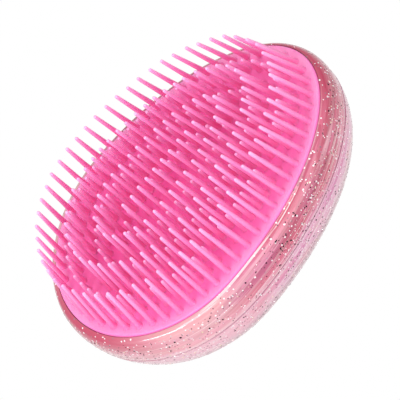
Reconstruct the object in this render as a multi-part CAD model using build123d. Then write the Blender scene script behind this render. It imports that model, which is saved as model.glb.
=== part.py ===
"""Palm brush for detangling hair and massaging the scalp.

An egg-shaped translucent casing in two halves holds a soft bristle pad.  The pad
drops into a recess in the casing and its pegs enter sockets in an inner carrier.
Frame: +X runs along the length to the narrow end, +Y across, +Z up out of the
bristles.  The brush stands on the flat of its back at Z = 0, and the origin is the
middle of its bounding box at that height.  Millimetres throughout.
"""

from build123d import *
from math import cos, hypot, pi, sin, sqrt
import os

# --- driving dimensions of the outline -------------------------------------------
PAD_LENGTH = 101.0
PAD_WIDTH = 70.7
FAT_SHARE = 0.385            # part of the pad's length between the fat end and the widest section
BULGE_FAT = 3.4              # how far the casing stands out beyond the pad at the fat end
BULGE_NARROW = 2.6           # the same at the narrow end
BULGE_SIDE = 3.2             # the same at the two sides

# --- heights -----------------------------------------------------------------------
RIM_Z = 34.0                 # lip of the casing
WIDEST_Z = 27.8              # height at which the casing is widest
SEAM_Z = 23.2                # joint between the two halves of the casing
DOME_DEPTH = 29.0            # the back is an elliptical dome cut flat at Z = 0
DOME_REACH = 26.0            # how far inwards the dome's curve runs
SHOULDER_REACH = 2.9         # how far inwards the rounded shoulder runs at the lip

# --- casing ------------------------------------------------------------------------
WALL = 2.4
LEDGE_Z = 32.4               # the pad's border sits on this ledge
LEDGE_THICKNESS = 1.6
LEDGE_REACH = 5.2            # how far the ledge runs in under the pad
TONGUE_WALL = 1.0
TONGUE_HEIGHT = 1.4
TONGUE_INSET = 1.7
TONGUE_ROOT = 1.5            # how far the tongue is bedded in the cover's wall
TONGUE_CLEARANCE = 0.1
CUT_OVERLAP = 1.0            # cutting and joining solids run this far past the faces they meet
SHOULDER_SECTIONS = 6        # sections lofted between the widest outline and the lip
DOME_SECTIONS = 7            # sections lofted between the flat and the joint
DOME_CROWDING = 1.5          # above 1, the dome's sections crowd towards the flat

# --- pad ---------------------------------------------------------------------------
PAD_TOP_Z = 34.6
PAD_CLEARANCE = 0.2
PAD_EDGE_ROUND = 0.7
PLUG_DEPTH = 2.8             # the pad's thick middle, which drops through the ledge
PLUG_CLEARANCE = 0.4
DISH_DEPTH = 2.0
DISH_BORDER = 1.6            # flat border left around the dished field
PEG_RADIUS = 2.0
PEG_LENGTH = 6.0
PEG_SPOTS = ((-32, 0), (-16, 19), (-16, -19), (12, 18), (12, -18), (38, 0), (2, 0))

# --- carrier under the pad -----------------------------------------------------------
CARRIER_INSET = 0.7          # the carrier's skirt stands this far inside the pad's outline
CARRIER_WALL = 1.6
CARRIER_TOP_Z = LEDGE_Z - LEDGE_THICKNESS
CARRIER_FOOT_Z = 23.8
CARRIER_PLATE_TOP_Z = 29.2
CARRIER_PLATE = 2.2
CARRIER_PLATE_STEP = 0.5     # the plate's edge ends inside the skirt, this far from its outer face
SOCKET_RADIUS = 3.9
SOCKET_CLEARANCE = 0.15
SOCKET_FOOT_Z = 21.5

# --- pearl liner inside the back -------------------------------------------------------
LINER_GAP = 0.2
LINER_WALL = 0.7
LINER_DROP = 1.7             # the liner's edge ends this far below the casing's joint

# --- bristles --------------------------------------------------------------------------
ROW_COUNT = 6                # rings of bristles around the centre line
FIRST_ROW_INSET = 2.85       # outer row, inside the pad's outline
ROW_PITCH = 5.15
OUTER_PITCH = 4.53           # between neighbours in the outer row
INNER_PITCH = 3.9            # between neighbours in every other row and on the centre line
LONG_BRISTLE = 18.4
SHORT_BRISTLE = 9.2
FOOT_RADIUS = 0.9
TIP_RADIUS = 0.55
FOOT_EMBEDDED = 0.8
ROW_LINE_STEPS = 1440        # steps walked along a row's outline to space its bristles
GATHER_HEIGHT = 250.0        # every bristle leans towards one point this far above the pad

# --- outline worked out from the driving dimensions --------------------------------------
PAD_FAT = PAD_LENGTH * FAT_SHARE
PAD_NARROW = PAD_LENGTH - PAD_FAT
PAD_SIDE = PAD_WIDTH / 2
CASING_LENGTH = PAD_LENGTH + BULGE_FAT + BULGE_NARROW
WIDEST_X = PAD_FAT + BULGE_FAT - CASING_LENGTH / 2


def egg(fat, narrow, side, z):
    """A flat egg: two half ellipses that share the widest section."""
    centre = (WIDEST_X, 0, z)
    narrow_half = EllipticalCenterArc(centre, narrow, side, start_angle=-90, arc_size=180)
    fat_half = EllipticalCenterArc(centre, fat, side, start_angle=90, arc_size=180)
    return make_face([narrow_half, fat_half])


def pad_egg(inset, z):
    """The pad's outline moved inwards by inset."""
    return egg(PAD_FAT - inset, PAD_NARROW - inset, PAD_SIDE - inset, z)


def casing_egg(inset, z):
    """The casing's widest outline moved inwards by inset."""
    fat = PAD_FAT + BULGE_FAT - inset
    narrow = PAD_NARROW + BULGE_NARROW - inset
    return egg(fat, narrow, PAD_SIDE + BULGE_SIDE - inset, z)


def casing_inset(z, wall):
    """How far the casing's surface, or one wall deeper, lies inside the widest outline."""
    if z >= WIDEST_Z:
        rise = (z - WIDEST_Z) / (RIM_Z - WIDEST_Z)
        return wall + SHOULDER_REACH * (1 - sqrt(max(0.0, 1 - rise**2)))
    fall = (WIDEST_Z - z) / (DOME_DEPTH - wall)
    return wall + (DOME_REACH - wall) * (1 - sqrt(1 - fall**2))


def casing_loft(heights, wall=0.0):
    """A solid through the casing's sections at the given heights."""
    return loft([casing_egg(casing_inset(z, wall), z) for z in heights])


def crowded(low, high):
    """Section heights from low to high, closer together near low."""
    shares = [(index / DOME_SECTIONS) ** DOME_CROWDING for index in range(DOME_SECTIONS + 1)]
    return [low + (high - low) * share for share in shares]


def shoulder_heights(low):
    """Section heights from low up to the lip, closer together where the shoulder turns in."""
    middle = (low + WIDEST_Z) / 2
    turns = [pi / 2 * index / SHOULDER_SECTIONS for index in range(SHOULDER_SECTIONS + 1)]
    return [low, middle] + [WIDEST_Z + (RIM_Z - WIDEST_Z) * sin(turn) for turn in turns]


def slab(face_maker, inset, low, high):
    """A straight-sided egg slab between two heights."""
    return extrude(face_maker(inset, low), high - low)


def ring(face_maker, inset, wall, low, high):
    """A straight-sided egg ring."""
    return slab(face_maker, inset, low, high) - slab(face_maker, inset + wall, low, high)


def upright(radius, low, high, spots):
    """Cylinders standing at each spot."""
    height = high - low
    return [Pos(x, y, (low + high) / 2) * Cylinder(radius, height) for x, y in spots]


def make_front_casing():
    """Upper half: rounded shoulder, lip, and the ledge that the pad sits on."""
    shell = casing_loft(shoulder_heights(SEAM_Z))
    below_widest = (SEAM_Z + WIDEST_Z) / 2
    above_widest = (WIDEST_Z + CARRIER_TOP_Z) / 2
    room = casing_loft([SEAM_Z, below_widest, WIDEST_Z, above_widest, CARRIER_TOP_Z], WALL)
    recess = slab(pad_egg, -PAD_CLEARANCE, LEDGE_Z, RIM_Z + CUT_OVERLAP)
    opening_inset = LEDGE_REACH - PLUG_CLEARANCE
    opening = slab(pad_egg, opening_inset, CARRIER_TOP_Z - CUT_OVERLAP, LEDGE_Z + CUT_OVERLAP)
    rebate_top = SEAM_Z + TONGUE_HEIGHT + TONGUE_CLEARANCE
    rebate = slab(casing_egg, TONGUE_INSET - TONGUE_CLEARANCE, SEAM_Z, rebate_top)
    return shell - room - recess - opening - rebate


def make_back_cover():
    """Lower half: the domed back with a flat to stand on and a tongue round its edge."""
    shell = casing_loft(crowded(0, SEAM_Z))
    room = casing_loft(crowded(WALL, SEAM_Z), WALL)
    tongue_foot = SEAM_Z - TONGUE_ROOT
    tongue = ring(casing_egg, TONGUE_INSET, TONGUE_WALL, tongue_foot, SEAM_Z + TONGUE_HEIGHT)
    return shell - room + tongue


def make_pearl_liner():
    """Thin pearl shell that backs the translucent dome."""
    outside = WALL + LINER_GAP
    inside = outside + LINER_WALL
    top = SEAM_Z - LINER_DROP
    shell = casing_loft(crowded(outside, top), outside)
    room = casing_loft(crowded(inside, top), inside)
    return shell - room


def make_pad_carrier():
    """Plate with a skirt and sockets; its rim meets the underside of the casing's ledge."""
    skirt = ring(pad_egg, CARRIER_INSET, CARRIER_WALL, CARRIER_FOOT_Z, CARRIER_TOP_Z)
    plate_inset = CARRIER_INSET + CARRIER_PLATE_STEP
    plate = slab(pad_egg, plate_inset, CARRIER_PLATE_TOP_Z - CARRIER_PLATE, CARRIER_PLATE_TOP_Z)
    carrier = skirt + plate + upright(SOCKET_RADIUS, SOCKET_FOOT_Z, CARRIER_PLATE_TOP_Z, PEG_SPOTS)
    bore = PEG_RADIUS + SOCKET_CLEARANCE
    bore_foot = SOCKET_FOOT_Z - CUT_OVERLAP
    return carrier - upright(bore, bore_foot, CARRIER_PLATE_TOP_Z + CUT_OVERLAP, PEG_SPOTS)


def dish_half(reach):
    """Half of the egg-shaped lens that dishes the pad; reach is its length along X."""
    half_width = PAD_SIDE - DISH_BORDER
    bowl_radius = (half_width**2 + DISH_DEPTH**2) / (2 * DISH_DEPTH)
    ball = Pos(0, 0, bowl_radius - DISH_DEPTH) * Sphere(bowl_radius)
    side_box = Pos(half_width, 0, 0) * Box(2 * half_width, 4 * half_width, 4 * DISH_DEPTH)
    lens = scale(ball & side_box, by=(abs(reach) / half_width, 1, 1))
    turn = 0 if reach > 0 else 180
    return Pos(WIDEST_X, 0, PAD_TOP_Z) * Rot(0, 0, turn) * lens


def make_bristle_pad():
    """Bordered plate with a dished field, a plug under it and pegs under the plug."""
    plate = slab(pad_egg, 0, LEDGE_Z, PAD_TOP_Z)
    plate = fillet(plate.faces().sort_by(Axis.Z)[-1].edges(), PAD_EDGE_ROUND)
    plug_foot = LEDGE_Z - PLUG_DEPTH
    pad = plate + slab(pad_egg, LEDGE_REACH, plug_foot, LEDGE_Z + PAD_EDGE_ROUND)
    pad = pad + upright(PEG_RADIUS, plug_foot - PEG_LENGTH, plug_foot + CUT_OVERLAP, PEG_SPOTS)
    pad = pad - dish_half(PAD_NARROW - DISH_BORDER)
    return pad - dish_half(DISH_BORDER - PAD_FAT)


def field_height(x, y):
    """Height of the pad's dished top at a spot."""
    reach = (PAD_NARROW if x > WIDEST_X else PAD_FAT) - DISH_BORDER
    depth_share = 1 - hypot((x - WIDEST_X) / reach, y / (PAD_SIDE - DISH_BORDER)) ** 2
    return PAD_TOP_Z - DISH_DEPTH * max(0.0, depth_share)


def row_spots(inset, pitch, shift):
    """Evenly spaced spots along an egg, starting at a share shift of one pitch."""
    fat, narrow, side = PAD_FAT - inset, PAD_NARROW - inset, PAD_SIDE - inset
    line = []
    for step in range(ROW_LINE_STEPS + 1):
        angle = 2 * pi * step / ROW_LINE_STEPS
        reach = narrow if cos(angle) > 0 else fat
        line.append((WIDEST_X + reach * cos(angle), side * sin(angle)))
    gone = [0.0]
    for here, there in zip(line, line[1:]):
        gone.append(gone[-1] + hypot(there[0] - here[0], there[1] - here[1]))
    count = round(gone[-1] / pitch)
    wanted = [(index + shift) * gone[-1] / count for index in range(count)]
    return [next(spot for spot, way in zip(line, gone) if way >= want) for want in wanted]


def centre_spots():
    """Spots of the single line of bristles in the middle of the pad."""
    inset = FIRST_ROW_INSET + ROW_COUNT * ROW_PITCH
    first = WIDEST_X - (PAD_FAT - inset)
    last = WIDEST_X + (PAD_NARROW - inset)
    count = round((last - first) / INNER_PITCH)
    return [(first + (last - first) * index / count, 0.0) for index in range(count + 1)]


def bristle(length):
    """One tapered bristle with a ball tip, standing on the origin with its foot buried."""
    shaft_top = length - TIP_RADIUS
    foot = -FOOT_EMBEDDED
    outline = Polyline((0, length), (0, foot), (FOOT_RADIUS, foot), (TIP_RADIUS, shaft_top))
    tip = CenterArc((0, shaft_top), TIP_RADIUS, 0, 90)
    profile = make_face([outline, tip])
    return revolve(Plane.XZ * profile, Axis.Z)


def planted(kind, spots):
    """The same bristle at every spot, each leaning towards the gather point."""
    solids = []
    for x, y in spots:
        z = field_height(x, y)
        lean = Vector(WIDEST_X - x, -y, GATHER_HEIGHT)
        solids += (Plane(origin=(x, y, z), z_dir=lean).location * kind).solids()
    return Compound(solids)


def make_bristle_rows():
    """Rings of bristles, long and short by turns, and a long centre line."""
    long_kind = bristle(LONG_BRISTLE)
    short_kind = bristle(SHORT_BRISTLE)
    rows = {}
    for row in range(ROW_COUNT):
        is_long = row % 2 == 0
        name = f"bristle_row_{row + 1}_{'long' if is_long else 'short'}"
        pitch = OUTER_PITCH if row == 0 else INNER_PITCH
        spots = row_spots(FIRST_ROW_INSET + row * ROW_PITCH, pitch, 0.0 if is_long else 0.5)
        rows[name] = planted(long_kind if is_long else short_kind, spots)
    rows["bristle_centre_line"] = planted(long_kind, centre_spots())
    return rows


pieces = {
    "front_casing": make_front_casing(),
    "back_cover": make_back_cover(),
    "pearl_liner": make_pearl_liner(),
    "pad_carrier": make_pad_carrier(),
    "bristle_pad": make_bristle_pad(),
    **make_bristle_rows(),
}

os.makedirs("parts", exist_ok=True)
for name, piece in pieces.items():
    export_step(piece, f"parts/{name}.step")
    size = piece.bounding_box().size
    print(f"{name}: {len(piece.solids())} solids, {size.X:.1f} x {size.Y:.1f} x {size.Z:.1f} mm")
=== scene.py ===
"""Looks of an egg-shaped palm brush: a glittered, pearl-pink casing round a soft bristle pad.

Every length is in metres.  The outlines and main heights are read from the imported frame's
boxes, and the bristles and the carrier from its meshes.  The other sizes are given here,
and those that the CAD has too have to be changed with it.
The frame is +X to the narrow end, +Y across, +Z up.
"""

from __future__ import annotations

import logging
import math
import random
from collections.abc import Callable, Sequence
from dataclasses import dataclass, field
from enum import Enum
from functools import cached_property

import bmesh
import bpy
from bpy.types import Material, Node, NodeSocket, NodeTree, Object
from mathutils import Matrix, Vector


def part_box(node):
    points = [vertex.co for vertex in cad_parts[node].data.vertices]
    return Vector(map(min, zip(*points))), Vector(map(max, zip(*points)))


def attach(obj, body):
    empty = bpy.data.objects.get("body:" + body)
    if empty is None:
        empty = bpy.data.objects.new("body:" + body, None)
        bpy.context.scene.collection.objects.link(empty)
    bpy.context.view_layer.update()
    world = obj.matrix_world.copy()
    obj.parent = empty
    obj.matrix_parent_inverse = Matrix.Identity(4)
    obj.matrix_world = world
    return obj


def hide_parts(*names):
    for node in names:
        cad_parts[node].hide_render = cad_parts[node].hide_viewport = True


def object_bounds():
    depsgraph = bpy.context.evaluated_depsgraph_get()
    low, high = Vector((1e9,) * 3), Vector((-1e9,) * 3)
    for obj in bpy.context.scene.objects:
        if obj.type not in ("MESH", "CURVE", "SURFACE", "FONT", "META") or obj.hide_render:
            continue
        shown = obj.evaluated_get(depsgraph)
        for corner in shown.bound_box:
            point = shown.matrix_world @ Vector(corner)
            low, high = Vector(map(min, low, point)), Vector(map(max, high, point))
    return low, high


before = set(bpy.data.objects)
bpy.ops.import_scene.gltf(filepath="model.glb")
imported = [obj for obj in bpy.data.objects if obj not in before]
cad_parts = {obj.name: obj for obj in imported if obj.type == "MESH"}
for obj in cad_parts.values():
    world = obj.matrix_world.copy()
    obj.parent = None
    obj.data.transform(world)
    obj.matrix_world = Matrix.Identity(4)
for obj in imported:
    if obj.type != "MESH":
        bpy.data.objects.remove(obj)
CAD_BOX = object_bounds()

LOG = logging.getLogger("palm_brush")
MM = 0.001
CASING_BODY = "casing"
PAD_BODY = "pad"
AROUND = 192                    # steps round each egg-shaped piece
WELD = 0.00002                  # points nearer than this are one point
CAD_WELD = WELD / 10            # the same, on a copy of a CAD solid
ON_AXIS = WELD / 20             # a profile's end on the axis stands this far off it until spun
LEVEL = WELD / 100              # points nearer than this in height are on one ring
COLUMN_WIDTH = 200              # spacing of the nodes in a node tree
MIX_FIRST, MIX_SECOND = 6, 7    # a Mix node's colour inputs
MIX_COLOUR = 2                  # and its colour output

Stop = tuple[float, tuple[float, float, float]]


class Family(Enum):
    """Which egg a profile point is measured from."""

    CASING = 0
    PAD = 1


@dataclass(frozen=True)
class Egg:
    """An egg outline: two half ellipses that share the widest section.

    Attributes:
        widest_x: where the widest section stands along X.
        fat: reach from there to the fat end.
        narrow: reach from there to the narrow end.
        side: half of the width.
    """

    widest_x: float
    fat: float
    narrow: float
    side: float

    @classmethod
    def round_node(cls, node: str, widest_x: float) -> Egg:
        """The outline that fits round a node's box and is widest at a given X."""
        low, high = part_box(node)
        return cls(widest_x, widest_x - low.x, high.x - widest_x, high.y)

    def reach(self, along: float) -> float:
        """Reach towards the end that a direction's X share points to."""
        return self.narrow if along > 0 else self.fat

    def place(self, angle: float, inset: float) -> tuple[float, float]:
        """A point on the outline moved inwards.

        Args:
            angle: turn about the widest section's middle, from +X.
            inset: how far inside the outline.

        Returns:
            The point's X and Y.
        """
        along, across = math.cos(angle), math.sin(angle)
        reach = self.reach(along) - inset
        return self.widest_x + reach * along, (self.side - inset) * across

    def outward(self, angle: float) -> Vector:
        """The outline's level outward direction at an angle."""
        along, across = math.cos(angle), math.sin(angle)
        return Vector((along / self.reach(along), across / self.side, 0.0)).normalized()


@dataclass(frozen=True)
class Spot:
    """One point of a turned profile: an egg family, an inset from that egg, and a height."""

    family: Family
    inset: float
    height: float


@dataclass(frozen=True)
class Plan:
    """The brush's driving sizes: the methods read the frame, and the fields repeat the CAD's.

    Attributes:
        fat_share: part of the pad's length from the fat end to the widest section.
        dish_depth: how far the pad's field is dished.
        dish_border: flat border round the dished field.
        wall: thickness of the casing's wall.
        shoulder_height: height of the rounded shoulder.
        shoulder_reach: how far inwards it curves.
        dome_depth: depth of the ellipse that the back follows.
        dome_reach: how far inwards that ellipse runs.
        ledge_z: height of the ledge that the pad sits on.
    """

    fat_share: float = 0.385
    dish_depth: float = 2.0 * MM
    dish_border: float = 1.6 * MM
    wall: float = 2.4 * MM
    shoulder_height: float = 6.2 * MM
    shoulder_reach: float = 2.9 * MM
    dome_depth: float = 29.0 * MM
    dome_reach: float = 26.0 * MM
    ledge_z: float = 32.4 * MM

    @cached_property
    def widest_x(self) -> float:
        """Where the widest section stands along X."""
        low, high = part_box("bristle_pad")
        return low.x + self.fat_share * (high.x - low.x)

    @cached_property
    def casing(self) -> Egg:
        """The casing's widest outline."""
        return Egg.round_node("front_casing", self.widest_x)

    @cached_property
    def pad(self) -> Egg:
        """The pad's outline."""
        return Egg.round_node("bristle_pad", self.widest_x)

    @cached_property
    def rim_z(self) -> float:
        """Height of the casing's lip."""
        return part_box("front_casing")[1].z

    @cached_property
    def seam_z(self) -> float:
        """Height of the joint between the casing's halves."""
        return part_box("front_casing")[0].z

    @cached_property
    def widest_z(self) -> float:
        """Height at which the casing is widest."""
        return self.rim_z - self.shoulder_height

    @cached_property
    def pad_top_z(self) -> float:
        """Height of the pad's border."""
        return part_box("bristle_pad")[1].z

    def casing_inset(self, height: float, wall: float = 0.0) -> float:
        """How far the casing's surface lies inside its widest outline.

        Args:
            height: height above the flat of the back.
            wall: depth below the outer surface, for inner faces.

        Returns:
            The inset at that height.
        """
        if height >= self.widest_z:
            rise = min(1.0, (height - self.widest_z) / self.shoulder_height)
            return wall + self.shoulder_reach * (1 - math.sqrt(1 - rise**2))
        fall = min(1.0, (self.widest_z - height) / (self.dome_depth - wall))
        return wall + (self.dome_reach - wall) * (1 - math.sqrt(1 - fall**2))

    def field_z(self, x: float, y: float) -> float:
        """Height of the pad's dished top at a spot.

        Args:
            x: the spot's X.
            y: the spot's Y.

        Returns:
            The height.
        """
        pad = self.pad
        reach = pad.reach(x - self.widest_x) - self.dish_border
        share = math.hypot((x - self.widest_x) / reach, y / (pad.side - self.dish_border))
        return self.pad_top_z - self.dish_depth * max(0.0, 1 - share**2)


PLAN = Plan()
EGGS = {Family.CASING: PLAN.casing, Family.PAD: PLAN.pad}


# --- mesh helpers --------------------------------------------------------------------


def spread(first: float, last: float, count: int) -> list[float]:
    """Evenly spaced values from first to last, both included."""
    return [first + (last - first) * index / (count - 1) for index in range(count)]


def curved_wall(heights: Sequence[float], wall: float = 0.0) -> list[Spot]:
    """Profile points on the casing's surface, or a wall's depth below it."""
    return [Spot(Family.CASING, PLAN.casing_inset(z, wall), z) for z in heights]


def arc(family: Family, centre: tuple[float, float], radius: float, start: float, end: float,
        steps: int = 5) -> list[Spot]:
    """Profile points on a small round.

    Args:
        family: the egg that the insets are measured from.
        centre: inset and height of the round's centre.
        radius: its radius.
        start: first angle in degrees; 0 points inwards and 90 up.
        end: last angle in degrees.
        steps: number of points.

    Returns:
        The points in order.
    """
    turns = [math.radians(angle) for angle in spread(start, end, steps)]
    return [Spot(family, centre[0] + radius * math.cos(turn), centre[1] + radius * math.sin(turn))
            for turn in turns]


def turned(profile: Sequence[Spot], closed: bool) -> bmesh.types.BMesh:
    """Spins a profile about Z and stretches each ring into its egg.

    Args:
        profile: the points, from one end to the other.
        closed: whether the last point joins the first.

    Returns:
        A mesh with outward faces.
    """
    bm = bmesh.new()
    family_layer = bm.verts.layers.int.new("family")
    verts = []
    for spot in profile:
        egg = EGGS[spot.family]
        vert = bm.verts.new((max(egg.side - spot.inset, ON_AXIS), 0.0, spot.height))
        vert[family_layer] = spot.family.value
        verts.append(vert)
    pairs = list(zip(verts, verts[1:])) + ([(verts[-1], verts[0])] if closed else [])
    edges = [bm.edges.new(pair) for pair in pairs]
    bmesh.ops.spin(bm, geom=verts + edges, cent=(0, 0, 0), axis=(0, 0, 1), angle=math.tau,
                   steps=AROUND, use_merge=True)
    for vert in bm.verts:
        egg = EGGS[Family(vert[family_layer])]
        along = vert.co.x / math.hypot(vert.co.x, vert.co.y)
        vert.co.x += (egg.reach(along) - egg.side) * along + egg.widest_x
    bmesh.ops.remove_doubles(bm, verts=bm.verts, dist=WELD)
    bmesh.ops.recalc_face_normals(bm, faces=bm.faces)
    return bm


def level_edges(verts: Sequence[bmesh.types.BMVert], height: float) -> list[bmesh.types.BMEdge]:
    """Finds the edges of a level ring.

    Args:
        verts: the vertices to look among.
        height: the ring's height.

    Returns:
        The edges that lie at that height.
    """
    return list({edge for vert in verts if abs(vert.co.z - height) < LEVEL
                 for edge in vert.link_edges
                 if abs(edge.other_vert(vert).co.z - height) < LEVEL})


def finished(name: str, bm: bmesh.types.BMesh, material: Material, sharp: float = 35.0) -> Object:
    """Turns a bmesh into a named, smooth-shaded object with its material.

    Args:
        name: the piece's name.
        bm: its mesh, which is freed.
        material: its finish.
        sharp: edges that bend by more than this many degrees stay sharp.

    Returns:
        The object, linked to the scene.
    """
    mesh = bpy.data.meshes.new(name)
    bm.to_mesh(mesh)
    bm.free()
    mesh.polygons.foreach_set("use_smooth", [True] * len(mesh.polygons))
    mesh.set_sharp_from_angle(angle=math.radians(sharp))
    mesh.materials.append(material)
    piece = bpy.data.objects.new(name, mesh)
    bpy.context.scene.collection.objects.link(piece)
    return piece


def enrol(piece: Object, body: str, slot: str, *nodes: str) -> None:
    """Makes a piece ride a body and hides the CAD nodes it stands for.

    Args:
        piece: the piece.
        body: the body that it moves with.
        slot: not used.
        *nodes: the CAD nodes.
    """
    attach(piece, body)
    if nodes:
        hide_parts(*nodes)
    LOG.info("%s: %d faces on %s", piece.name, len(piece.data.polygons), body)


# --- shader helpers --------------------------------------------------------------------


def dye(code: str) -> tuple[float, float, float]:
    """Linear colour of a screen colour.

    Args:
        code: six hexadecimal digits.

    Returns:
        Red, green and blue, each from 0 to 1.
    """
    screen = [int(code[start:start + 2], 16) / 255 for start in (0, 2, 4)]
    red, green, blue = (v / 12.92 if v < 0.04045 else ((v + 0.055) / 1.055) ** 2.4
                        for v in screen)
    return red, green, blue


@dataclass
class Canvas:
    """A node tree with short calls for adding nodes and links."""

    tree: NodeTree
    column: int = 0

    def add(self, kind: str, settings: dict[str, object] | None = None, **inputs: object) -> Node:
        """Adds a node.

        Args:
            kind: the node's type name without its ShaderNode prefix.
            settings: node properties to set.
            **inputs: socket values or source sockets; underscores stand for spaces.

        Returns:
            The new node.
        """
        node = self.tree.nodes.new("ShaderNode" + kind)
        self.column += 1
        node.location = (COLUMN_WIDTH * self.column, 0)
        for key, value in (settings or {}).items():
            setattr(node, key, value)
        for key, value in inputs.items():
            self.feed(node, key.replace("_", " "), value)
        return node

    def feed(self, node: Node, socket: str | int, value: object) -> None:
        """Sets a socket to a value, or links another node's output into it.

        Args:
            node: the node that has the socket.
            socket: the socket's name or number.
            value: a plain value, or the output to link.
        """
        target = node.inputs[socket]
        if isinstance(value, NodeSocket):
            self.tree.links.new(value, target)
        else:
            target.default_value = value

    def here(self) -> NodeSocket:
        """The surface point, in object coordinates."""
        return self.add("TexCoord").outputs["Object"]

    def axis(self, name: str) -> NodeSocket:
        """X, Y or Z of the surface point."""
        return self.add("SeparateXYZ", Vector=self.here()).outputs[name]

    def maths(self, operation: str, first: object, second: object = 0.0) -> NodeSocket:
        """Adds a Math node.

        Args:
            operation: what it does.
            first: its first value or source.
            second: its second value or source.

        Returns:
            The result.
        """
        node = self.add("Math", {"operation": operation})
        self.feed(node, 0, first)
        self.feed(node, 1, second)
        return node.outputs[0]

    def remap(self, value: NodeSocket, low: float, high: float, to_low: float = 0.0,
              to_high: float = 1.0, ease: str = "LINEAR") -> NodeSocket:
        """Carries a value from one range to another and holds it at the ends.

        Args:
            value: the value.
            low: start of its range; it may be above high, which turns the range round.
            high: end of its range.
            to_low: result at low.
            to_high: result at high.
            ease: how it runs between the two.

        Returns:
            The carried value.
        """
        node = self.add("MapRange", {"interpolation_type": ease}, From_Min=low, From_Max=high,
                        To_Min=to_low, To_Max=to_high, Value=value)
        return node.outputs[0]

    def ramp(self, factor: NodeSocket, stops: Sequence[Stop]) -> NodeSocket:
        """Adds a colour ramp.

        Args:
            factor: the place along it.
            stops: places and their colours, in order.

        Returns:
            The colour.
        """
        node = self.add("ValToRGB")
        elements = node.color_ramp.elements
        while len(elements) < len(stops):
            elements.new(0.5)
        for element, (place, colour) in zip(elements, stops):
            element.position = place
            element.color = (*colour, 1.0)
        self.feed(node, 0, factor)
        return node.outputs[0]

    def mix(self, factor: object, first: object, second: object, blend: str = "MIX") -> NodeSocket:
        """Adds a colour Mix node.

        Args:
            factor: the second colour's share.
            first: a colour or its source.
            second: a colour or its source.
            blend: how they are blended.

        Returns:
            The mixed colour.
        """
        node = self.add("Mix", {"data_type": "RGBA", "blend_type": blend})
        self.feed(node, 0, factor)
        for socket, colour in ((MIX_FIRST, first), (MIX_SECOND, second)):
            self.feed(node, socket, colour if isinstance(colour, NodeSocket) else (*colour, 1.0))
        return node.outputs[MIX_COLOUR]

    def tint(self, mask: NodeSocket, amount: object, below: NodeSocket,
             colour: object) -> NodeSocket:
        """Lays a colour over the one below, where a mask from 0 to 1 shows, by an amount."""
        return self.mix(self.maths("MULTIPLY", mask, amount), below, colour)

    def noise(self, scale: float, detail: float = 3.0,
              stretch: tuple[float, float, float] = (1, 1, 1),
              roughness: float = 0.5) -> NodeSocket:
        """Adds a noise on object coordinates.

        Args:
            scale: how many blotches there are in a metre.
            detail: how many finer layers it has.
            stretch: how much it is squeezed along each axis.
            roughness: how strong the finer layers are.

        Returns:
            The noise, from 0 to 1.
        """
        mapping = self.add("Mapping", Scale=stretch, Vector=self.here())
        return self.add("TexNoise", Vector=mapping.outputs[0], Scale=scale, Detail=detail,
                        Roughness=roughness).outputs["Fac"]

    def bump(self, height: NodeSocket, distance: float, strength: float = 1.0) -> NodeSocket:
        """A bumped normal."""
        return self.add("Bump", Height=height, Distance=distance, Strength=strength).outputs[0]


def new_group(name: str, inputs: dict[str, tuple[str, object]], outputs: dict[str, str],
              draw: Callable[[Canvas, Node, Node], None]) -> NodeTree:
    """Makes a shared shader group.

    Args:
        name: the group's name.
        inputs: socket name to its type and default value.
        outputs: socket name to its type.
        draw: fills the group, given its canvas, input node and output node.

    Returns:
        The group's tree.
    """
    tree = bpy.data.node_groups.new(name, "ShaderNodeTree")
    for label, (kind, value) in inputs.items():
        socket = tree.interface.new_socket(label, in_out="INPUT", socket_type="NodeSocket" + kind)
        socket.default_value = value
    for label, kind in outputs.items():
        tree.interface.new_socket(label, in_out="OUTPUT", socket_type="NodeSocket" + kind)
    draw(Canvas(tree), tree.nodes.new("NodeGroupInput"), tree.nodes.new("NodeGroupOutput"))
    return tree


def draw_grain(canvas: Canvas, source: Node, target: Node) -> None:
    """Fine moulded grain: two noises of different size added into one height.

    Args:
        canvas: the group's canvas.
        source: its input node.
        target: its output node.
    """
    place = canvas.here()
    coarse = canvas.add("TexNoise", Vector=place, Detail=2.0)
    canvas.feed(coarse, "Scale", source.outputs["Scale"])
    fine = canvas.add("TexNoise", Vector=place, Detail=4.0, Roughness=0.65)
    canvas.feed(fine, "Scale", canvas.maths("MULTIPLY", source.outputs["Scale"], 5.0))
    faint = canvas.maths("MULTIPLY", fine.outputs["Fac"], 0.4)
    canvas.feed(target, "Height", canvas.maths("ADD", coarse.outputs["Fac"], faint))


def draw_mottle(canvas: Canvas, source: Node, target: Node) -> None:
    """Soft blotches: a base colour drifting towards a second one.

    Args:
        canvas: the group's canvas.
        source: its input node.
        target: its output node.
    """
    blotch = canvas.add("TexNoise", Vector=canvas.here(), Detail=3.0, Roughness=0.6)
    canvas.feed(blotch, "Scale", source.outputs["Scale"])
    share = canvas.remap(blotch.outputs["Fac"], 0.35, 0.65)
    canvas.feed(target, "Color", canvas.tint(share, source.outputs["Amount"],
                                             source.outputs["Color"], source.outputs["Second"]))


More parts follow.
